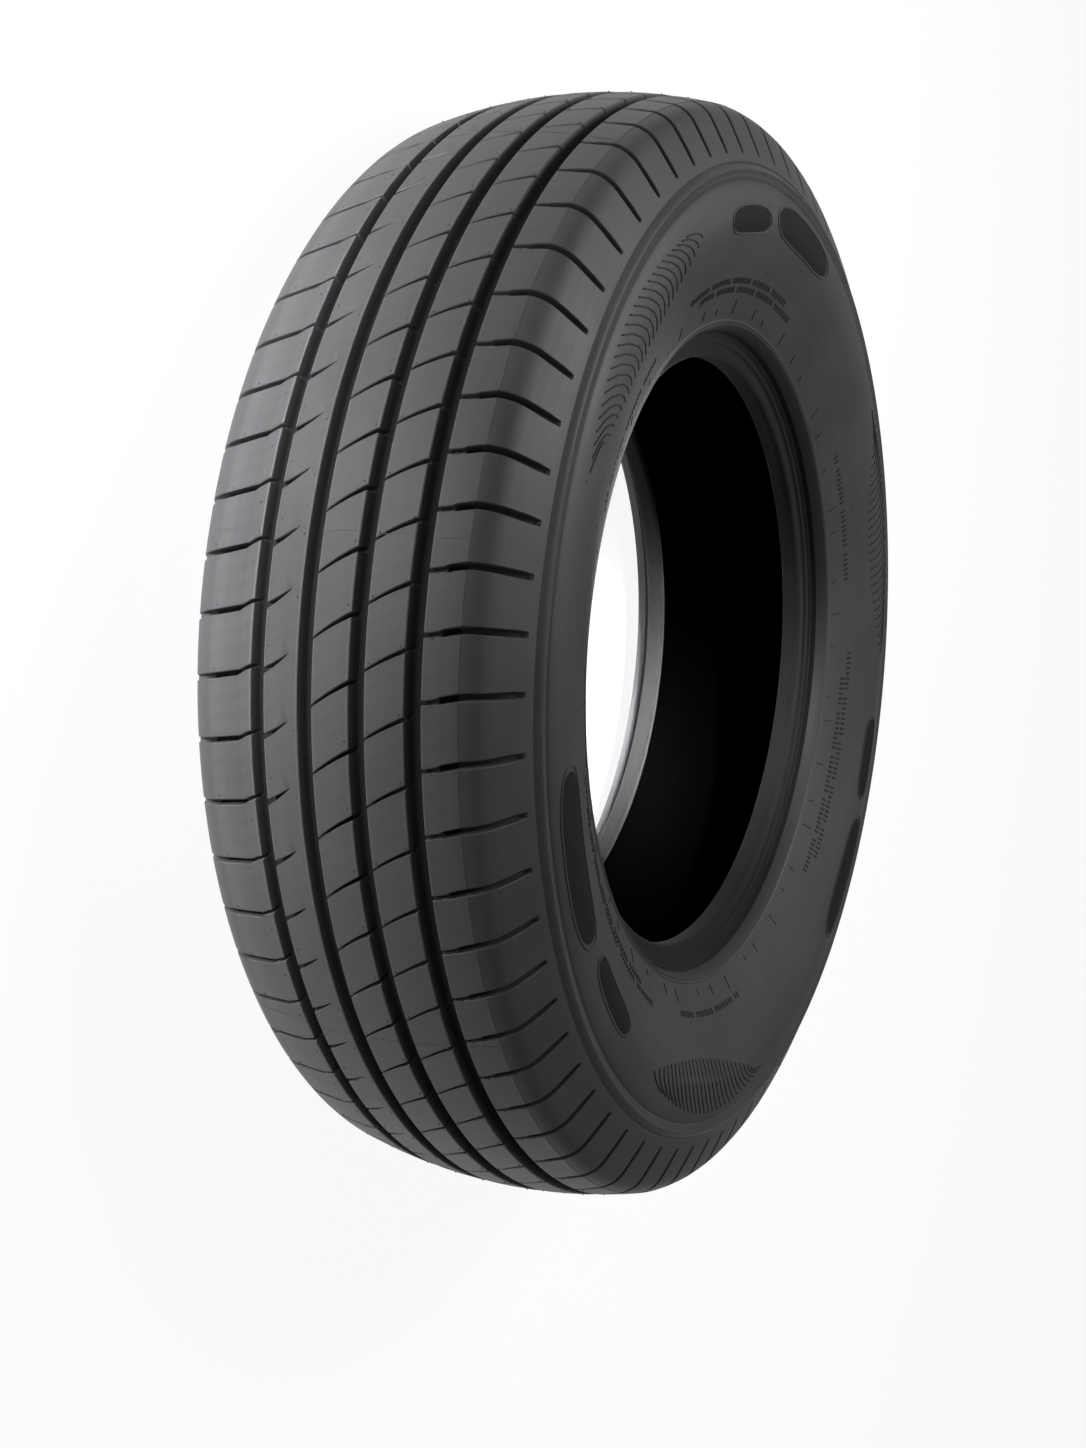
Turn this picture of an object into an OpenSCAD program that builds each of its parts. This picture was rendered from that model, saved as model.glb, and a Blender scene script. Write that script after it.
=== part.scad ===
// Radial car tyre without its wheel, lying flat on one sidewall.
// One moulded piece: tread, shoulders, sidewalls and two beads.
// The tyre's axis is Z, the origin is at its centre, and all sizes are in millimetres.

/* [Overall] */
// Outer diameter over the middle of the tread
outer_d = 703.5; // [690:0.5:720]
// Width over both sidewalls at their widest
section_w = 204; // [198:1:216]
// Diameter of the bead seats, which a 15 inch rim fills
seat_d = 380.2; // [370:0.1:390]

/* [Crown] */
// Radius of the arch across the tread
crown_r = 300; // [280:5:500]
// Width of the arched part of the tread
tread_w = 142; // [136:1:150]
// Thickness from the tread's top to the inner liner
crown_t = 17.5; // [14:0.5:22]
// Size of the bend from the tread's edge to the shoulder's face
shoulder_bend = 11; // [9:0.5:16]

/* [Long grooves] */
// Distance from one long groove to the next
groove_step = 29.3; // [28:0.1:32]
// How far the four grooves sit off the middle, towards the upper side
groove_shift = 7.8; // [0:0.2:10]
// Width of a long groove at the top
groove_w = 8.8; // [6:0.2:10]
// Depth of the long grooves
groove_d = 8.5; // [6:0.5:10]
// How much each groove wall leans in towards the floor
groove_lean = 1.2; // [0.5:0.1:2]

/* [Cross cuts] */
// Number of cross cuts around the tyre in each rib
pitches = 70; // [50:1:80]
// Swing of the cut spacing in degrees, which spreads the tread noise
pitch_swing = 0.6; // [0:0.1:1]
// Number of times the spacing swings in one turn
pitch_waves = 7; // [3:1:10]
// Depth of the shoulder slots
slot_d = 6.5; // [4:0.5:7.5]
// Width of the slots in the upper shoulder
upper_slot_w = 3.6; // [2:0.2:5]
// Width of the slots in the lower shoulder
lower_slot_w = 3; // [2:0.2:5]
// Width of the narrow step between a slot and its long groove
step_w = 2.3; // [1:0.1:3]
// Depth of that step
step_d = 3; // [1.5:0.5:5]
// Length of that step beside a long groove
step_l = 8; // [5:0.5:12]
// Distance from the slots' outer ends to the shoulder ring
slot_stop = 6; // [3:0.5:10]
// Lean of the upper shoulder slots from straight across, in degrees
upper_lean = 4; // [0:1:10]
// Lean of the lower shoulder slots, in degrees
lower_lean = 10; // [0:1:12]
// Depth of the cuts in the three middle ribs
cut_d = 7; // [4:0.5:8]
// Width of those cuts at their narrow end
cut_thin = 0.9; // [0.6:0.1:1.5]
// Width of those cuts at their wide end
cut_wide = 2.7; // [1.8:0.1:4]
// How far a cut climbs around the tyre as it crosses its rib
cut_climb = 14; // [4:0.5:16]
// Length of the notches in the rib that has no full cuts
notch_l = 16; // [6:0.5:18]

/* [Sidewall] */
// Place of the widest point, from the rim line (0) to the shoulder ring (1)
widest_at = 0.74; // [0.6:0.01:0.85]
// Drop from the crown to the top of the shoulder ring
ring_drop = 45; // [42:1:48]
// Width of each face of the shoulder ring
ring_face = 5.2; // [3:0.2:7]
// Height of the shoulder ring's crest
ring_h = 1.6; // [0.8:0.1:2.5]
// Height of the rim line above the bead seat
rim_line_h = 20; // [18:0.5:24]
// How far the rim line stands out past the bead's outer face
rim_line_out = 14.5; // [12:0.5:20]
// Height of the fine ridges near the rim
ridge_h = 0.9; // [0.5:0.1:1.5]

/* [Bead] */
// Distance between the two bead toes, inside the tyre
toe_gap = 98; // [92:1:106]
// Width of each bead from its toe to its outer face
bead_w = 13.5; // [12:0.5:18]
// Radius of the heel between the seat and the outer face
heel_r = 5; // [3:0.5:6]
// Length of the rounded toe at the inner end of the seat
toe_r = 2; // [1:0.5:4]
// Thickness of the sidewall at its widest point
side_t = 8.5; // [6:0.5:12]

/* [Hidden] */
$fn = 144;
crown_top = outer_d / 2;
half_w = section_w / 2;
half_tread = tread_w / 2;
seat_r = seat_d / 2;
toe_z = toe_gap / 2;
face_z = toe_z + bead_w;
ring_r = crown_top - ring_drop;
ring_z = half_w - 6;
past = 3;

// Radius of the tread arch at height z
function crown(z) = crown_top - crown_r + sqrt(crown_r * crown_r - z * z);

// Point at share u along a quadratic curve that leaves a towards b and ends at c
function curve_at(a, b, c, u) = (1 - u) * (1 - u) * a + 2 * u * (1 - u) * b + u * u * c;
function curve(a, b, c, n) = [for (i = [1 : n]) curve_at(a, b, c, i / n)];

// The same points on the lower side, in the opposite order
function lower(points) =
    [for (i = [len(points) - 1 : -1 : 0]) [points[i][0], -points[i][1]]];

// Outline points are [radius, height]
tread_end = [crown(half_tread), half_tread];
tread_slope = half_tread / sqrt(crown_r * crown_r - half_tread * half_tread);
corner = tread_end + shoulder_bend * [-tread_slope, 1];
ring_top = [ring_r, ring_z];
face_way = (ring_top - corner) / norm(ring_top - corner);
face_start = corner + shoulder_bend * face_way;
slot_out = ring_top - slot_stop * face_way;
ring_crest = [ring_r - ring_face, ring_z + 1.4 + ring_h];
ring_foot = [ring_r - 2 * ring_face, ring_z + 2.4];
rim_line = [seat_r + rim_line_h, face_z + rim_line_out];
widest_r = rim_line[0] + widest_at * (ring_foot[0] - rim_line[0]);
widest = [widest_r, half_w];

// A fine ridge that stands out from the sidewall at radius r and height z
function ridge(r, z) = [[r + 1.2, z + 0.6], [r + 0.4, z + ridge_h], [r - 0.6, z + ridge_h - 0.6],
    [r - 1.4, z - 1]];

below_widest = curve(widest, [(rim_line[0] + 5 * widest_r) / 6, half_w], rim_line + [3, 2], 7);
shoulder = concat(curve(tread_end, corner, face_start, 5), [slot_out, ring_top]);
upper_side = concat(
    shoulder,
    [ring_crest, ring_foot],
    curve(ring_foot, [(widest_r + 2 * ring_foot[0]) / 3, half_w], widest, 4),
    below_widest,
    ridge(rim_line[0] + 1, rim_line[1] + 0.8),
    curve(rim_line - [1, 0.8], [seat_r + 15.6, face_z + 6], [seat_r + 15, face_z + 4.5], 3),
    [[seat_r + 14, face_z + 4.4], [seat_r + 12.6, face_z + 2.4], [seat_r + 10, face_z + 2.2],
        [seat_r + 8.6, face_z + 0.4]],
    curve([seat_r + heel_r, face_z], [seat_r, face_z], [seat_r, face_z - heel_r], 5),
    [[seat_r, toe_z + toe_r]],
    curve([seat_r, toe_z + toe_r], [seat_r, toe_z], [seat_r + toe_r, toe_z], 3));

// The inside keeps its distance from the outside
inner_foot = [seat_r + 9, toe_z + 1];
inner_low = rim_line + [3, 2 - side_t];
inner_bend = (inner_foot + inner_low) / 2 + [2.5, -2.5];
inner_widest = [widest_r, half_w - side_t];
inner_corner = [crown(half_tread) - crown_t, half_tread - 12];
upper_inside = concat(
    [inner_foot],
    curve(inner_foot, inner_bend, inner_low, 4),
    [for (i = [len(below_widest) - 2 : -1 : 0]) below_widest[i] - [0, side_t]],
    [inner_widest],
    curve(inner_widest, [(4 * inner_corner[0] + widest_r) / 5, half_w - side_t], inner_corner, 6),
    [[crown(half_tread / 2) - crown_t + 1, half_tread / 2]]);

// The four long grooves, from the lower side to the upper side
groove_z = [for (i = [0 : 3]) groove_shift + (i - 1.5) * groove_step];
function groove(z) = [
    [crown(z - groove_w / 2), z - groove_w / 2],
    [crown(z) - groove_d + 1, z - groove_w / 2 + groove_lean],
    [crown(z) - groove_d, z - groove_w / 2 + groove_lean + 1],
    [crown(z) - groove_d, z + groove_w / 2 - groove_lean - 1],
    [crown(z) - groove_d + 1, z + groove_w / 2 - groove_lean],
    [crown(z + groove_w / 2), z + groove_w / 2]];
tread_top = [for (z = groove_z) each groove(z)];

// Where the ribs end beside the long grooves
function below(i) = groove_z[i] - groove_w / 2;
function above(i) = groove_z[i] + groove_w / 2;

// Angle of cross cut i, with the spacing swinging evenly around the tyre
function pitch_angle(i) = 360 * i / pitches + pitch_swing * sin(360 * pitch_waves * i / pitches);

// The moulded body: one section turned about the axis
module carcass() {
    color([0.09, 0.09, 0.1])
    rotate_extrude()
    polygon(concat(lower(upper_inside), lower(upper_side), [[tread_end[0], -tread_end[1]]],
        tread_top, [tread_end], upper_side, upper_inside));
}

// Stands one shape in every pitch, moved on by a share of a pitch
module every_pitch(share) {
    for (i = [0 : pitches - 1])
        rotate([0, 0, pitch_angle(i + share)])
        children();
}

// A slot from the tread out over the shoulder, with a shallow step from the long groove at edge
module shoulder_cut(edge, width, lean) {
    from = edge + step_l;
    floor_start = [crown(from) - slot_d, from];
    floor_bend = corner - slot_d * [1.2, 0.8];
    floor_end = slot_out - [0.8, 2.4];
    translate([0, 0, half_tread])
    rotate([lean, 0, 0])
    translate([0, 0, -half_tread]) {
        rotate([90, 0, 0])
        linear_extrude(width, center = true)
        polygon(concat([[crown_top + past, from], floor_start],
            curve(floor_start, floor_bend, floor_end, 4),
            [slot_out + [1, past], [crown_top + past, ring_z + past]]));
        translate([crown(from) - step_d, -step_w / 2, edge - 1])
        cube([step_d + past, step_w, step_l + 2]);
    }
}

// A curved cut across a middle rib: thin at height from, wide at height to
module rib_cut(from, to, climb, thin, wide, n) {
    function at(u) = -climb * (u + 0.25 * u * (1 - u));
    function half(u) = (thin + (wide - thin) * u) / 2;
    function up(u) = from + (to - from) * u;
    translate([crown_top - cut_d, 0, 0])
    rotate([90, 0, 90])
    linear_extrude(cut_d + past)
    polygon(concat(
        [for (i = [0 : n]) [at(i / n) - half(i / n), up(i / n)]],
        [for (i = [n : -1 : 0]) [at(i / n) + half(i / n), up(i / n)]]));
}

module shoulder_cuts() {
    every_pitch(0) shoulder_cut(above(3), upper_slot_w, upper_lean);
    every_pitch(0) mirror([0, 0, 1]) shoulder_cut(-below(0), lower_slot_w, -lower_lean);
}

// Each rib's cuts start at their own share of a pitch
module middle_rib_cuts() {
    every_pitch(0.53) rib_cut(above(0) + notch_l, above(0) - 1, -0.7 * cut_climb, 0.3, 1.2 * cut_wide, 2);
    every_pitch(0.3) rib_cut(above(1) - 1, below(2) + 1, cut_climb, cut_thin, cut_wide, 3);
    every_pitch(0.72) rib_cut(above(2) - 1, below(3) + 1, 0.85 * cut_climb, cut_thin, cut_wide, 3);
}

module tyre() {
    difference() {
        carcass();
        shoulder_cuts();
        middle_rib_cuts();
    }
}

tyre();
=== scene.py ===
import bmesh
import bpy
import math
from mathutils import Matrix, Vector


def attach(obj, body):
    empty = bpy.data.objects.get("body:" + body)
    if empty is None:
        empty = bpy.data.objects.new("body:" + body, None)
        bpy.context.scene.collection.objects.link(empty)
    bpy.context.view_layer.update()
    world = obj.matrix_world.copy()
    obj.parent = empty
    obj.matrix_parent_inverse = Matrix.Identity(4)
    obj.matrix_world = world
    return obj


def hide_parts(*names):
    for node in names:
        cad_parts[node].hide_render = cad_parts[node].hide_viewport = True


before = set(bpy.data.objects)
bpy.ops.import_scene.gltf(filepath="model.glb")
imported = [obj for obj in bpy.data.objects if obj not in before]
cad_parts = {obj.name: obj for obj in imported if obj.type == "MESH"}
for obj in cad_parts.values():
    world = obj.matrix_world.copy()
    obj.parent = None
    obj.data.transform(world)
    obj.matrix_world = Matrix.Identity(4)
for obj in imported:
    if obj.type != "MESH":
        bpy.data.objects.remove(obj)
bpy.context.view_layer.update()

# Sizes of the tyre's section in millimetres, the same as in its solid
OUTER_R = 351.75
HALF_W = 102.0
CROWN_R = 300.0
HALF_TREAD = 71.0
BEND = 11.0
RING_R, RING_Z = OUTER_R - 45.0, HALF_W - 6.0
WIDEST_R = 273.9
SEAT_R, TOE_Z = 190.1, 49.0
FACE_Z = TOE_Z + 13.5
RIM_R, RIM_Z = SEAT_R + 20.0, FACE_Z + 14.5
SIDE_T, CROWN_T = 8.5, 17.5

# The surface lies a little lower, which leaves room for the raised details inside the solid's box
CROWN_TOP = OUTER_R - 0.2
PROUD = 0.6

# Long grooves, shoulder slots with their shallow steps, and the cuts across the ribs
GROOVE_STEP = 29.3
GROOVES = [7.8 + (i - 1.5) * GROOVE_STEP for i in range(4)]
GROOVE_W, GROOVE_D, LEAN = 8.8, 8.5, 1.2
SLOT_D, SLOT_STOP = 6.5, 6.0
STEP_D, STEP_L = 3.0, 8.0
CUT_D = 7.0
CUT_PAST = 1.5  # how far past its rib's edge a cut starts to climb, inside the groove
PITCHES, SWING, WAVES = 70, 0.6, 7
ROUND = 0.5  # rounding of the blocks' edges

SIDE_N = 180  # points around the tyre in a ring of the sidewalls and the inside
SHARP = 35.0  # degrees from which an edge looks sharp
STUB_R, STUB_H = 0.0006, 0.0005


def crown(z):
    """Radius of the tread's arch at height z."""
    return CROWN_TOP - CROWN_R + math.sqrt(CROWN_R ** 2 - z * z)


def between(a, b, share):
    return tuple(p + (q - p) * share for p, q in zip(a, b))


def bezier(a, b, c, u):
    return tuple((1 - u) ** 2 * p + 2 * u * (1 - u) * q + u * u * s for p, q, s in zip(a, b, c))


def shifted(points, r, z):
    return [(r + dr, z + dz) for dr, dz in points]


def pitch_angle(i):
    """Angle of cross cut i in degrees; the spacing swings evenly around the tyre."""
    return 360.0 * i / PITCHES + SWING * math.sin(math.radians(360.0 * WAVES * i / PITCHES))


def smooth(a, b, x):
    """A soft step from 0 at a to 1 at b."""
    t = min(max((x - a) / (b - a), 0.0), 1.0)
    return t * t * (3 - 2 * t)


class Skin:
    """One closed skin put together from rings around the Z axis; a ring is (first point, angles)."""

    def __init__(self):
        self.points, self.faces = [], []

    def ring(self, places):
        """Adds a ring of (angle, radius, height) places."""
        start = len(self.points)
        for angle, r, z in places:
            t = math.radians(angle)
            self.points.append((r * math.cos(t) / 1000, r * math.sin(t) / 1000, z / 1000))
        return start, [angle for angle, r, z in places]

    def turned(self, r, z):
        return self.ring([(360.0 * k / SIDE_N, r, z) for k in range(SIDE_N)])

    def quads(self, low, high):
        """Joins two rings of the same point count."""
        n = len(low[1])
        for k in range(n):
            m = (k + 1) % n
            self.faces.append((low[0] + k, low[0] + m, high[0] + m, high[0] + k))

    def stitch(self, low, high):
        """Joins two rings of different point counts with triangles."""
        a, b = low[1], high[1]
        first = min(range(len(b)), key=lambda j: abs((b[j] - a[0] + 180) % 360 - 180))

        def gone_low(i):
            return a[i % len(a)] + 360.0 * (i // len(a)) - a[0]

        def gone_high(j):
            return b[(first + j) % len(b)] + 360.0 * ((first + j) // len(b)) - b[first]

        i = j = 0
        while i < len(a) or j < len(b):
            here, there = low[0] + i % len(a), high[0] + (first + j) % len(b)
            if j >= len(b) or (i < len(a) and gone_low(i + 1) <= gone_high(j + 1)):
                i += 1
                self.faces.append((here, low[0] + i % len(a), there))
            else:
                j += 1
                self.faces.append((here, high[0] + (first + j) % len(b), there))


class Line:
    """A ring of a strip in the section: its top, the floor of its cut, and the cut's climb and half width."""

    def __init__(self, top, floor, climb, half):
        self.top, self.floor, self.climb, self.half = top, floor, climb, half

    def to_lower_side(self):
        self.top, self.floor = ((r, -z) for r, z in (self.top, self.floor))


def strip(skin, lines, share):
    """Lays the lines around the tyre with a cut in every pitch; returns its first and last ring."""
    rings = []
    for line in lines:
        rim = foot = line.top
        depth = math.dist(line.top, line.floor)
        if depth > 0:
            rim = between(line.top, line.floor, min(ROUND, depth * 0.5) / depth)
            foot = between(line.top, line.floor, 1 - min(ROUND, depth * 0.15) / depth)
        h = line.half
        edge = h + 0.45
        profile = [(-edge, line.top), (-h, rim), (-h * 0.88, foot), (-h * 0.55, line.floor),
                   (h * 0.55, line.floor), (h * 0.88, foot), (h, rim), (edge, line.top)]
        to_deg = math.degrees(1.0 / line.top[0])
        places = []
        for k in range(PITCHES):
            here, there = (pitch_angle(i + share) - line.climb * to_deg for i in (k, k + 1))
            places += [(here + off * to_deg, r, z) for off, (r, z) in profile]
            start, end = here + edge * to_deg, there - edge * to_deg
            places += [(start + (end - start) * f, *line.top) for f in (1 / 3, 2 / 3)]
        rings.append(skin.ring(places))
    for low, high in zip(rings, rings[1:]):
        skin.quads(low, high)
    return rings[0], rings[-1]


def groove_side(z, out):
    """Points from the middle of a long groove up its wall on the side out (+1 or -1)."""
    half = GROOVE_W / 2
    floor, edge = crown(z) - GROOVE_D, z + out * (half + ROUND)
    return [(floor, z), (floor, z + out * (half - LEAN - 1)), (floor + 1, z + out * (half - LEAN)),
            (crown(z + out * half) - ROUND, z + out * (half - 0.1)), (crown(edge), edge)]


def on_crown(heights):
    return [(crown(z), z) for z in heights]


def bowed(u):
    """Share of a cut's climb at share u of its length."""
    return u + 0.25 * u * (1 - u)


def rib(skin, low_groove, share, climb, thin, wide):
    """A middle rib with a curved cut right across it."""
    low, high = groove_side(GROOVES[low_groove], 1), groove_side(GROOVES[low_groove + 1], -1)
    start, end = low[-1][1] - CUT_PAST, high[-1][1] + CUT_PAST
    inner = [start + (end - start) * f for f in (0.2, 0.35, 0.5, 0.65, 0.8)]
    lines = []
    for r, z in low + on_crown(inner) + high[::-1]:
        u = min(max((z - start) / (end - start), 0), 1)
        floor = (min(r, CROWN_TOP - CUT_D), z)
        lines.append(Line((r, z), floor, climb * bowed(u), (thin + (wide - thin) * u) / 2))
    return strip(skin, lines, share)


def notched_rib(skin, share, climb, thin, wide, length):
    """The rib beside the first groove, with notches that run out to a point."""
    low, high = groove_side(GROOVES[0], 1), groove_side(GROOVES[1], -1)
    start = low[-1][1] - CUT_PAST
    tip = start + length
    inner = [start + length * f for f in (0.2, 0.45, 0.7, 0.9, 1.0)] + [tip + 1.5]
    lines = []
    for r, z in low + on_crown(inner) + high[::-1]:
        u = min(max((tip - z) / length, 0), 1)
        floor = (min(r, crown(z) - CUT_D * min(1.0, u / 0.12)), z)
        lines.append(Line((r, z), floor, -climb * bowed(u), (thin + (wide - thin) * u) / 2))
    return strip(skin, lines, share)


TREAD_END = (crown(HALF_TREAD), HALF_TREAD)
CORNER = (TREAD_END[0] - BEND * HALF_TREAD / math.sqrt(CROWN_R ** 2 - HALF_TREAD ** 2), HALF_TREAD + BEND)
FACE_LEN = math.dist(CORNER, (RING_R, RING_Z))
FACE_WAY = ((RING_R - CORNER[0]) / FACE_LEN, (RING_Z - CORNER[1]) / FACE_LEN)
SLOT_OUT = FACE_LEN - SLOT_STOP


def on_face(along):
    """A point on the shoulder's face, along millimetres after the corner; it bulges a little."""
    swell = 0.25 * math.sin(math.pi * (along - BEND) / (FACE_LEN - BEND))
    return (CORNER[0] + FACE_WAY[0] * along + FACE_WAY[1] * swell, CORNER[1] + FACE_WAY[1] * along + swell)


def slotted_points():
    """The outline from the tread's end to the slots' outer ends, as (share of the slot, point)."""
    face_start = on_face(BEND)
    bend = [(0.6 * t, bezier(TREAD_END, CORNER, face_start, t)) for t in (0.12, 0.28, 0.44, 0.6, 0.8, 1.0)]
    return bend + [(0.6 + 0.4 * f, on_face(BEND + (SLOT_OUT - BEND) * f)) for f in (0.33, 0.66, 0.9, 1.0)]


def shoulder(skin, side, width, step_w):
    """A shoulder strip from its long groove to the shoulder ring; side is 1 (upper) or -1 (lower)."""
    centre = side * GROOVES[3 if side > 0 else 0]
    edge = centre + GROOVE_W / 2
    start = edge + STEP_L
    step_floor = crown(start) - STEP_D
    # The lower slots get shallow sooner and run out on the shoulder's bend
    rise, end, fade = (0, 1, 0) if side > 0 else (5.5, 0.4, 0.85)
    bend = (CORNER[0] - 1.2 * SLOT_D + rise, CORNER[1] - 0.8 * SLOT_D + rise)
    out_r, out_z = on_face(SLOT_OUT)
    out = (out_r - 0.8 * end, out_z - 2.4 * end)
    at_tread_end = 0.32  # share of the floor's curve where the tread ends

    def climb(z):
        if side > 0:
            return 3.8 * smooth(edge, HALF_TREAD + 6, z) - 3.8
        return -(z - HALF_TREAD) * 0.17 + 2.4 * smooth(start + 2, edge, z)

    def floor_at(share):
        return bezier((crown(start) - SLOT_D, start), bend, out, share)

    lines = []
    for r, z in groove_side(centre, 1) + on_crown((edge + 3, edge + STEP_L - 0.3)):
        lines.append(Line((r, z), (min(r, step_floor), z), climb(z), step_w / 2))
    for z in (start, start + 1.2, start + 5, start + 10, HALF_TREAD):
        floor = floor_at(at_tread_end * (z - start) / (HALF_TREAD - start))
        lines.append(Line((crown(z), z), floor, climb(z), width / 2 if z > start else step_w / 2 + 0.2))
    for share, (r, z) in slotted_points():
        keep = 1 - fade * smooth(0, 0.36, share)
        floor = between((r, z), floor_at(at_tread_end + (1 - at_tread_end) * share), keep)
        lines.append(Line((r, z), floor, climb(z), width / 2 * (1 if share < 0.95 else 0.8)))
    for r, z in (on_face(SLOT_OUT + 1), on_face(SLOT_OUT + 3), (RING_R, RING_Z)):
        lines.append(Line((r, z), (r, z), climb(z), width / 4))
    if side < 0:
        for line in lines:
            line.to_lower_side()
    return strip(skin, lines, 0.0)


def below_widest(u, sunk):
    """The wall from its widest point (0) to the rim line (1), sunk millimetres below the solid's."""
    bend = ((RIM_R + 5 * WIDEST_R) / 6, HALF_W)
    r, z = bezier((WIDEST_R, HALF_W), bend, (RIM_R + 3, RIM_Z + 2), u)
    return r, z - sunk


def ring_points():
    """The shoulder ring: two faces with a rounded crest between them, and a fine groove inside it."""
    return shifted([(-0.8, -0.4), (-1.5, 0.1), (-2.7, 1.5), (-4.1, 2.7), (-4.8, 3.0), (-5.5, 2.85),
                    (-6.5, 2.3), (-8.3, 2.1), (-9.9, 1.9), (-10.5, 1.5), (-11.1, 2.0)], RING_R, RING_Z)


def bead_points():
    """From the rim line's fine ridges over the bead's outer face, heel and seat to its toe."""
    line_r, line_z = RIM_R + 1, RIM_Z + 0.8
    pts = shifted([(1.5, 0.7), (1.1, 1.0), (0.6, 0.9), (0.1, 0.4), (-0.4, -0.2), (-0.8, 0.3), (-1.3, 0.2),
                   (-2.0, -1.2)], line_r, line_z)
    upper_bend, upper_end = shifted([(15.8, 6.4), (15.2, 4.7)], SEAT_R, FACE_Z)
    pts += [bezier((line_r - 2.4, line_z - 1.8), upper_bend, upper_end, u) for u in (0.0, 0.35, 0.65, 1.0)]
    pts += shifted([(14.6, 4.5), (14.1, 4.6), (13.4, 4.1), (12.7, 2.9), (11.5, 2.4), (10.3, 2.4), (9.5, 2.1),
                    (8.8, 0.9), (8.1, 0.4), (5.0, 0.0)], SEAT_R, FACE_Z)
    pts += [bezier((SEAT_R + 5, FACE_Z), (SEAT_R, FACE_Z), (SEAT_R, FACE_Z - 5), u)
            for u in (0.25, 0.5, 0.75, 1.0)]
    return pts + shifted([(0, 5), (0, 2), (0.3, 0.9), (1.0, 0.3), (2, 0), (5, 0.4)], SEAT_R, TOE_Z)


def sidewall_points():
    """(radius, height) from the shoulder ring to the bead's toe."""
    foot, widest = (RING_R - 11.7, RING_Z + 2.4), (WIDEST_R, HALF_W - PROUD)
    above_widest = [bezier(foot, (WIDEST_R + 14, HALF_W - PROUD), widest, u)
                    for u in (0.0, 0.15, 0.3, 0.5, 0.7, 0.85, 1.0)]
    under = [below_widest(u, PROUD) for u in (0.15, 0.3, 0.42, 0.54, 0.64, 0.74, 0.83, 0.92, 1.0)]
    return ring_points() + above_widest + under + bead_points()


def inside_points():
    """(radius, height) from the bead's toe up the inside to the middle of the crown."""
    foot, low, wide = (SEAT_R + 9, TOE_Z + 1), below_widest(1, SIDE_T), (WIDEST_R, HALF_W - SIDE_T)
    bend = ((foot[0] + low[0]) / 2 + 2.5, (foot[1] + low[1]) / 2 - 2.5)
    corner = (crown(HALF_TREAD) - CROWN_T, HALF_TREAD - 12)
    top_bend = ((4 * corner[0] + wide[0]) / 5, wide[1])
    pts = [bezier(foot, bend, low, u) for u in (0.0, 0.25, 0.5, 0.75, 1.0)]
    pts += [below_widest(u, SIDE_T) for u in (0.8, 0.6, 0.4, 0.2, 0.0)]
    pts += [bezier(wide, top_bend, corner, u) for u in (0.25, 0.5, 0.7, 0.85, 1.0)]
    return pts + [(crown(z) - CROWN_T + rise, z) for z, rise in ((37, 1.0), (18, 0.8), (0, 0.7))]


def make_object(name, points, faces, material):
    mesh = bpy.data.meshes.new(name)
    mesh.from_pydata(points, [], faces)
    mesh.validate()
    mesh.polygons.foreach_set("use_smooth", [True] * len(mesh.polygons))
    mesh.materials.append(material)
    obj = bpy.data.objects.new(name, mesh)
    bpy.context.scene.collection.objects.link(obj)
    return obj


def finish_piece(obj):
    """Turns every face of a closed piece outwards, and says what the piece stands for."""
    bm = bmesh.new()
    bm.from_mesh(obj.data)
    bmesh.ops.recalc_face_normals(bm, faces=bm.faces)
    open_edges = sum(1 for e in bm.edges if len(e.link_faces) != 2)
    bm.to_mesh(obj.data)
    bm.free()
    obj.data.set_sharp_from_angle(angle=math.radians(SHARP))
    print(obj.name, len(obj.data.polygons), "faces,", open_edges, "open edges")
    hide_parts("tyre")
    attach(obj, "root")


def add_tread(skin):
    """The slotted shoulders and the three ribs between the long grooves; returns the outermost rings."""
    upper_first, upper_last = shoulder(skin, 1, 3.6, 2.3)
    lower_first, lower_last = shoulder(skin, -1, 3.0, 2.1)
    notched = notched_rib(skin, share=0.53, climb=9.8, thin=0.5, wide=3.3, length=16.0)
    middle = rib(skin, 1, share=0.3, climb=14.0, thin=0.9, wide=2.7)
    upper_rib = rib(skin, 2, share=0.72, climb=12.0, thin=1.0, wide=2.5)
    skin.stitch(lower_first, notched[0])
    skin.stitch(notched[1], middle[0])
    skin.stitch(middle[1], upper_rib[0])
    skin.stitch(upper_rib[1], upper_first)
    return upper_last, lower_last


def build_tyre(material, inside_shade_mat):
    """The whole moulded skin, with a near-black, glossless material of painted shade on its inside."""
    skin = Skin()
    edges = add_tread(skin)
    walls = [[skin.turned(r, side * z) for r, z in sidewall_points()] for side in (1, -1)]
    inner = [skin.turned(r, z) for r, z in inside_points()]
    inner += [skin.turned(r, -z) for r, z in inside_points()[-2::-1]]
    for wall in walls:
        for a, b in zip(wall, wall[1:]):
            skin.quads(a, b)
    for edge, wall in zip(edges, walls):
        skin.stitch(edge, wall[0])
    outside = len(skin.faces)
    upper_toe, lower_toe = (wall[-1] for wall in walls)
    for a, b in zip([upper_toe] + inner, inner + [lower_toe]):
        skin.quads(a, b)
    obj = make_object("tyre_rubber", skin.points, skin.faces, material)
    obj.data.materials.append(inside_shade_mat)
    for face in obj.data.polygons[outside:]:
        face.material_index = 1
    finish_piece(obj)


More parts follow.
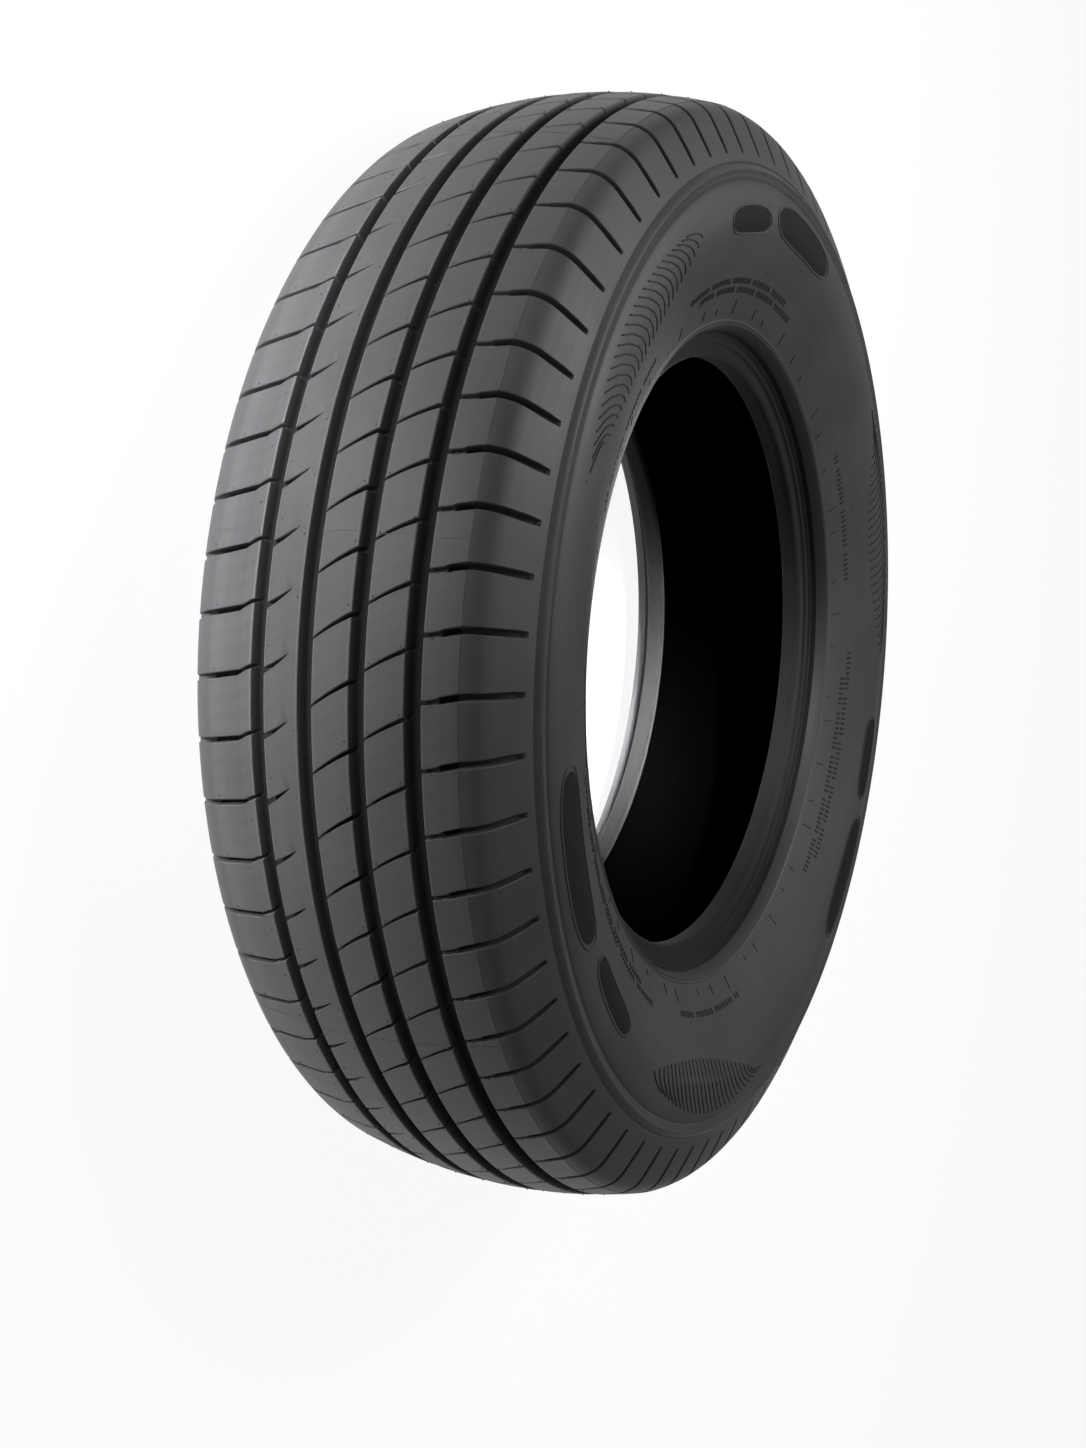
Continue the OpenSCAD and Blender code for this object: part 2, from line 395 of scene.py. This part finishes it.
class Shell:
    """Closed thin shapes that lie on the tyre's surface and make one piece together."""

    def __init__(self):
        self.points, self.faces = [], []

    def tube(self, sections, loop=False):
        """Joins equal sections one after the other, with flat ends unless it is a loop."""
        start, n = len(self.points), len(sections[0])
        for section in sections:
            self.points += section
        for i in range(len(sections) - (0 if loop else 1)):
            a, b = start + i * n, start + (i + 1) % len(sections) * n
            for k in range(n):
                m = (k + 1) % n
                self.faces.append((a + k, a + m, b + m, b + k))
        if not loop:
            self.faces.append(tuple(start + k for k in reversed(range(n))))
            self.faces.append(tuple(start + (len(sections) - 1) * n + k for k in range(n)))

    def ridge(self, surface, line, width, height, loop=False):
        """A low ridge along a line of (radius or height, angle) points of a surface."""
        flat = [surface(u, a, 0.0) for u, a in line]
        sunk = 0.0004
        sections = []
        for i, (u, a) in enumerate(line):
            before = flat[i - 1] if i or loop else flat[i]
            after = flat[(i + 1) % len(line)] if i + 1 < len(line) or loop else flat[i]
            out = (surface(u, a, 1.0) - flat[i]).normalized()
            side = (after - before).cross(out).normalized() * width / 2000
            top = flat[i] + out * height / 1000
            foot = flat[i] - out * sunk
            sections.append([foot + side, top + side * 0.55, top - side * 0.55, foot - side])
        self.tube(sections, loop)

    def nub(self, place, out, height):
        """A rubber stub, as a vent of the mould leaves it."""
        across = out.orthogonal().normalized()
        along = out.cross(across)
        ring = [math.radians(60 * k) for k in range(6)]
        self.tube([[place + out * h + (across * math.cos(t) + along * math.sin(t)) * r for t in ring]
                   for h, r in ((-0.0003, STUB_R), (height * 0.6, STUB_R * 0.85), (height, STUB_R * 0.4))])

    def piece(self, name, material):
        finish_piece(make_object(name, self.points, self.faces, material))


def polar(r, angle, z):
    return Vector((r * math.cos(math.radians(angle)), r * math.sin(math.radians(angle)), z)) / 1000


def wall_surface(side):
    """Places on the sidewall by (radius, angle), out millimetres proud of it; side is 1 (upper) or -1."""
    wall = sorted(p for p in sidewall_points() if RIM_R + 3 < p[0] < RING_R - 11)

    def place(r, angle, out):
        i = next((i for i in range(1, len(wall) - 1) if wall[i][0] > r), len(wall) - 1)
        (r0, z0), (r1, z1) = wall[i - 1], wall[i]
        return polar(r, angle, side * (z0 + (z1 - z0) * (r - r0) / (r1 - r0) + out))
    return place


def tread_surface(z, angle, out):
    """Places on the tread's arch by (height, angle)."""
    return polar(crown(z) + out, angle, z)


def arc_outline(r, angle, half_height, half_angle, n=28):
    """A rounded outline along the sidewall, as (radius, angle) points."""
    pts = []
    for k in range(n):
        t = 2 * math.pi * k / n
        up, along = math.sin(t), math.cos(t)
        pts.append((r + half_height * math.copysign(abs(up) ** 0.8, up),
                    angle + half_angle * math.copysign(abs(along) ** 0.6, along)))
    return pts


def arc(rims, panels, place, angle, r, half_height, half_angle):
    """A smooth panel that follows the sidewall, with a fine rim around it."""
    outline = arc_outline(r, angle, half_height, half_angle)
    rims.ridge(place, outline, 1.7, 0.58, loop=True)
    rings = [(0.94, -0.3)] + [(share, 0.14) for share in (0.94, 0.78, 0.6, 0.42, 0.24, 0.08)]
    panels.tube([[place(r + (u - r) * share, angle + (a - angle) * share, out) for u, a in outline]
                 for share, out in rings])


def ridge_field(ridges, place, start, side, count=26):
    """Curved ridges side by side, longest in the middle of the field."""
    for i in range(count):
        a = start + i * 1.45
        swell = math.sin(math.pi * (i + 0.5) / count)
        low, high = 279 - 22 * swell ** 0.7, 283 + 7 * swell
        line = [(low + (high - low) * f, a + 4.2 * f * f * side) for f in (0, 0.25, 0.5, 0.75, 1)]
        ridges.ridge(place, line, 1.3, 0.5)


def rib_row(ridges, place, r, first, last, row):
    """A row of fine ribs near the rim, with a gap after every eighth."""
    step = 0.95
    for i in range(int((last - first) / step)):
        a = first + i * step
        if (i + row) % 9 != 8:
            ridges.ridge(place, [(r - 1.7, a), (r + 1.7, a + 0.1)], 2.0, 0.55)


def sidewall_pattern(side, rim_mat, ridge_mat, panel_mat):
    """Three like sets around the sidewall: two smooth dark arcs, a field of ridges and rows of fine ribs."""
    place = wall_surface(side)
    ridges, rims, panels = Shell(), Shell(), Shell()
    for k in range(3):
        start = 120 * k + (82 if side > 0 else 40)
        arc(rims, panels, place, start, 277, 12, 11)
        arc(rims, panels, place, start + 20.5, 273, 8.5, 7)
        ridge_field(ridges, place, start + 38, side)
        for row, (r, first, last) in enumerate(((231, -6, 34), (236.5, -2, 40), (231, 52, 78))):
            rib_row(ridges, place, r, start + first, start + last, row)
    for i in range(48):
        a = 7.5 * i + 1.5 * math.sin(i * 2.4)
        ridges.ridge(place, [(216.5, a), (220 + 2.5 * (i % 3), a + 0.25)], 0.9, 0.45)
    name = "upper" if side > 0 else "lower"
    ridges.piece("sidewall_ridges_" + name, ridge_mat)
    rims.piece("sidewall_arc_rims_" + name, rim_mat)
    panels.piece("sidewall_arcs_" + name, panel_mat)


def vent_stubs(material):
    """Stubs near the corners of the tread's blocks and, fewer, on the sidewalls."""
    stubs = Shell()
    rows = ((GROOVES[0] - 8, 0.13), (GROOVES[0] + 7.5, 0.42), (GROOVES[1] - 6.5, 0.66),
            (GROOVES[1] + 6.5, 0.16), (GROOVES[2] - 6.5, 0.74), (GROOVES[2] + 6.5, 0.58),
            (GROOVES[3] - 6.5, 0.3), (GROOVES[3] + 9, 0.16), (-66, 0.85))
    for z, share in rows:
        height = min(STUB_H, (OUTER_R - 0.02 - crown(z)) / 1000)
        for k in range(PITCHES):
            place = tread_surface(z, pitch_angle(k + share), 0.0)
            stubs.nub(place, Vector((place.x, place.y, 0)).normalized(), height)
    for side in (1, -1):
        surface = wall_surface(side)
        for i in range(40):
            place = surface(226 + (i * 37) % 64, 9 * i + 4 * math.sin(i * 1.7), 0.0)
            stubs.nub(place, Vector((0, 0, side)), STUB_H)
    stubs.piece("vent_stubs", material)


def mould_lines(material):
    """The fine lines where the eight segments of the tread's mould met, one on each rib for each segment."""
    lines = Shell()
    end, beside = HALF_TREAD + 2, GROOVE_W / 2 + 0.9
    edges = [-end] + [groove + side * beside for groove in GROOVES for side in (-1, 1)] + [end]
    for k in range(8):
        a = 45 * k + 20.5
        for low, high in zip(edges[::2], edges[1::2]):
            line = [(low + (high - low) * i / 4, a + 0.1 * math.sin(i * 2.0 + k)) for i in range(5)]
            lines.ridge(tread_surface, line, 0.7, 0.16)
    lines.piece("mould_lines", material)


class Tree:
    """Short ways to add nodes to a node tree; a value is a number, a colour or a socket."""

    def __init__(self, owner):
        owner.use_nodes = True
        self.nodes, self.links = owner.node_tree.nodes, owner.node_tree.links

    def feed(self, socket, value):
        if isinstance(value, bpy.types.NodeSocket):
            self.links.new(value, socket)
        else:
            socket.default_value = value

    def maths(self, operation, a, b=None, clamp=False):
        node = self.nodes.new("ShaderNodeMath")
        node.operation, node.use_clamp = operation, clamp
        self.feed(node.inputs[0], a)
        if b is not None:
            self.feed(node.inputs[1], b)
        return node.outputs[0]

    def add(self, a, b, clamp=False):
        return self.maths("ADD", a, b, clamp)

    def less(self, a, b, clamp=False):
        return self.maths("SUBTRACT", a, b, clamp)

    def times(self, a, b, clamp=False):
        return self.maths("MULTIPLY", a, b, clamp)

    def ramp(self, value, start, length):
        """0 up to start, and 1 from a length after it."""
        return self.times(self.less(value, start), 1 / length, clamp=True)

    def peak(self, value, at, reach):
        """1 where the value is at, and 0 where it is reach or more away from it."""
        off = self.maths("ABSOLUTE", self.less(value, at))
        return self.less(1, self.times(off, 1 / reach), clamp=True)

    def within(self, value, middle, reach):
        return self.maths("LESS_THAN", self.maths("ABSOLUTE", self.less(value, middle)), reach)

    def place(self):
        return self.nodes.new("ShaderNodeTexCoord").outputs["Object"]

    def noise(self, place, scale, detail):
        node = self.nodes.new("ShaderNodeTexNoise")
        self.feed(node.inputs["Vector"], place)
        node.inputs["Scale"].default_value = scale
        node.inputs["Detail"].default_value = detail
        return node.outputs["Fac"]

    def blend(self, share, a, b):
        node = self.nodes.new("ShaderNodeMix")
        node.data_type = "RGBA"
        for name, value in (("Factor", share), ("A", a), ("B", b)):
            self.feed(node.inputs[name], value)
        return node.outputs["Result"]


def new_material(name):
    """An empty material with one shader; returns it with its tree and the shader."""
    mat = bpy.data.materials.new(name)
    tree = Tree(mat)
    tree.nodes.clear()
    out = tree.nodes.new("ShaderNodeOutputMaterial")
    shader = tree.nodes.new("ShaderNodeBsdfPrincipled")
    tree.links.new(shader.outputs[0], out.inputs[0])
    return mat, tree, shader


def painted_edge_highlights(tree, depth, z, sunk, on_tread):
    """Painted highlights along the blocks' edges: just under the top, and more beside the long grooves."""
    step = GROOVE_STEP / 1000
    middle = (GROOVES[1] + GROOVES[2]) / 2000
    brink = tree.times(tree.peak(depth, 0.0003, 0.0003), on_tread)
    from_groove = tree.maths("PINGPONG", tree.less(z, GROOVES[0] / 1000), step / 2)
    beside = tree.times(tree.peak(from_groove, 0.0047, 0.0008), tree.within(z, middle, 2 * step))
    beside = tree.times(beside, tree.less(1, tree.times(sunk, 2), clamp=True))
    return tree.maths("MAXIMUM", tree.times(brink, 0.45), tree.times(beside, 0.6))


def rubber():
    """The tyre's rubber: grain, smudges, faint streaks that run around it, painted shade that blackens the
    grooves, and painted highlights along the blocks' edges.
    """
    mat, tree, shader = new_material("tread_rubber")
    place = tree.place()
    parts = tree.nodes.new("ShaderNodeSeparateXYZ")
    tree.links.new(place, parts.inputs[0])
    x, y, z = parts.outputs
    radius = tree.maths("SQRT", tree.add(tree.times(x, x), tree.times(y, y)))

    # How deep a point lies under the tread's arch
    across = tree.maths("SQRT", tree.less((CROWN_R / 1000) ** 2, tree.times(z, z)))
    depth = tree.less(tree.add(across, (CROWN_TOP - CROWN_R) / 1000), radius)
    sunk = tree.ramp(depth, 0.0005, 0.0043)
    on_tread = tree.maths("LESS_THAN", tree.maths("ABSOLUTE", z), 0.0705)
    groove = tree.times(sunk, on_tread)

    grain = tree.noise(place, 900, 4)
    smudge = tree.ramp(tree.noise(place, 14, 3), 0.36, 1 / 3.2)
    around = tree.nodes.new("ShaderNodeCombineXYZ")
    tree.links.new(tree.times(radius, 170.0), around.inputs["X"])
    tree.links.new(tree.times(z, 170.0), around.inputs["Z"])
    streak = tree.ramp(tree.noise(around.outputs[0], 1, 3), 0.3, 1 / 2.4)
    mixed = tree.add(tree.times(smudge, 0.36), tree.times(streak, 0.3))

    share = tree.add(mixed, tree.times(grain, 0.34))
    colour = tree.blend(share, (0.036, 0.0355, 0.0385, 1), (0.066, 0.065, 0.070, 1))
    # Painted shade: the grooves' colour goes near black with their depth under the arch; the same mask also
    # makes them rougher
    colour = tree.blend(tree.times(groove, 0.93), colour, (0.002, 0.002, 0.002, 1))
    # Painted highlight: the blocks' edges are lightened in the base colour, standing in for light falling on
    # them
    edge_highlight = painted_edge_highlights(tree, depth, z, sunk, on_tread)
    tree.feed(shader.inputs["Base Color"], tree.blend(edge_highlight, colour, (0.15, 0.15, 0.155, 1)))
    rough = tree.add(tree.times(mixed, 0.16), 0.5)
    tree.feed(shader.inputs["Roughness"], tree.add(rough, tree.times(groove, 0.4), clamp=True))
    shader.inputs["Specular IOR Level"].default_value = 0.5
    shader.inputs["Sheen Weight"].default_value = 0.05
    shader.inputs["Sheen Roughness"].default_value = 0.5

    bump = tree.nodes.new("ShaderNodeBump")
    bump.inputs["Strength"].default_value = 0.25
    bump.inputs["Distance"].default_value = 0.0003
    tree.links.new(grain, bump.inputs["Height"])
    tree.links.new(bump.outputs[0], shader.inputs["Normal"])
    return mat


def dull_rubber(name, dark, light, rough, gloss):
    """Plain dark rubber with a fine grain."""
    mat, tree, shader = new_material(name)
    grain = tree.noise(tree.place(), 260, 3)
    tree.feed(shader.inputs["Base Color"], tree.blend(grain, (dark, dark, dark, 1), (light, light, light, 1)))
    tree.feed(shader.inputs["Roughness"], tree.add(tree.times(grain, 0.15), rough))
    shader.inputs["Specular IOR Level"].default_value = gloss
    return mat


def floor_material(white, share):
    """A pale floor that takes shadow, with a share of plain white where the camera or a gloss sees it."""
    mat, tree, shader = new_material("floor_white")
    shader.inputs["Base Color"].default_value = (0.82, 0.82, 0.82, 1)
    shader.inputs["Roughness"].default_value = 0.9
    shader.inputs["Specular IOR Level"].default_value = 0.1
    glow = tree.nodes.new("ShaderNodeEmission")
    glow.inputs["Color"].default_value = (1, 1, 1, 1)
    glow.inputs["Strength"].default_value = white / share
    path = tree.nodes.new("ShaderNodeLightPath")
    seen = tree.maths("MAXIMUM", path.outputs["Is Camera Ray"], path.outputs["Is Glossy Ray"])
    mix = tree.nodes.new("ShaderNodeMixShader")
    tree.links.new(tree.times(seen, share), mix.inputs[0])
    tree.links.new(shader.outputs[0], mix.inputs[1])
    tree.links.new(glow.outputs[0], mix.inputs[2])
    out = next(n for n in tree.nodes if n.type == "OUTPUT_MATERIAL")
    tree.links.new(mix.outputs[0], out.inputs[0])
    return mat


def add_floor():
    bpy.ops.mesh.primitive_plane_add(size=40, location=(0, 0, -HALF_W / 1000 - 0.0002))
    plane = bpy.context.object
    plane.name = "floor"
    plane.data.materials.append(floor_material(0.92, 0.85))


# The camera's right and back directions and its place, before the turn about the tyre's axis.
# The picture's right is up in the scene, as the tyre lies flat.
RIGHT = Vector((-0.06301, 0.41038, 0.90974))
BACK = Vector((-0.02836, -0.91192, 0.40940))
EYE = Vector((-0.01506, -1.06351, 0.48296))
TURN = Matrix.Rotation(math.radians(28.98), 4, "Z")
PHOTO_H = 1448.0
FOCUS, SHIFT_X, SHIFT_Y = 1749.9, -80.0, -50.0  # in pixels of the photograph


def camera_axes():
    """A turn whose columns are the camera's right, up and back directions."""
    back = BACK.normalized()
    right = (RIGHT - back * RIGHT.dot(back)).normalized()
    return Matrix((right, back.cross(right), back)).transposed().to_4x4()


def add_camera():
    data = bpy.data.cameras.new("camera")
    data.sensor_fit = "VERTICAL"
    data.sensor_height = 36.0
    data.lens = FOCUS / PHOTO_H * 36.0
    data.shift_x = SHIFT_X / PHOTO_H
    data.shift_y = SHIFT_Y / PHOTO_H
    data.clip_end = 100
    obj = bpy.data.objects.new("camera", data)
    bpy.context.scene.collection.objects.link(obj)
    obj.matrix_world = TURN @ Matrix.Translation(EYE) @ camera_axes()
    bpy.context.scene.camera = obj


def lamp(name, place, size, watts, aim=(0, 0, 0), spread=180):
    """A soft area light; place and aim are (right, up, back) in the camera's axes, from the tyre's centre."""
    data = bpy.data.lights.new(name, "AREA")
    data.shape = "RECTANGLE"
    data.size, data.size_y = size
    data.energy = watts
    data.color = (1.0, 1.0, 1.0)
    data.spread = math.radians(spread)
    obj = bpy.data.objects.new(name, data)
    bpy.context.scene.collection.objects.link(obj)
    spot, mark = (TURN @ camera_axes() @ Vector(p) for p in (place, aim))
    obj.location = spot
    obj.rotation_euler = (mark - spot).to_track_quat("-Z", "Y").to_euler()


def studio_world(ambient, white):
    """A weak even light, which looks as white as the floor where the camera sees past it."""
    world = bpy.data.worlds.new("studio")
    bpy.context.scene.world = world
    tree = Tree(world)
    background = tree.nodes["Background"]
    background.inputs["Color"].default_value = (1, 1, 1, 1)
    seen = tree.nodes.new("ShaderNodeLightPath").outputs["Is Camera Ray"]
    tree.feed(background.inputs["Strength"], tree.add(tree.times(seen, white - ambient), ambient))


# Object
tyre_mat = rubber()
# The tyre's inside is painted near black without gloss: painted shade
build_tyre(tyre_mat, dull_rubber("inside_painted_shade", 0.0004, 0.0012, 0.8, 0.0))
ridge_mat = dull_rubber("ridge_rubber", 0.018, 0.03, 0.55, 0.35)
panel_mat = dull_rubber("smooth_rubber", 0.009, 0.014, 0.6, 0.2)
for side in (1, -1):
    sidewall_pattern(side, tyre_mat, ridge_mat, panel_mat)
vent_stubs(tyre_mat)
mould_lines(tyre_mat)

# Stage, camera and light
add_floor()
add_camera()
lamp("key", (-0.62, 0.5, 1.15), (0.5, 0.3), 10, (-0.44, 0.1, 0.12), 36)
lamp("top", (-0.3, 1.5, 0.7), (1.2, 0.5), 6)
lamp("fill", (1.7, 0.7, 0.2), (0.8, 0.8), 19)
lamp("hole", (0.4, 0.42, 1.25), (0.12, 0.12), 0.9, (0.0, -0.05, -0.17), 8)
studio_world(0.15, 0.97)
bpy.context.scene.view_settings.view_transform = "Standard"
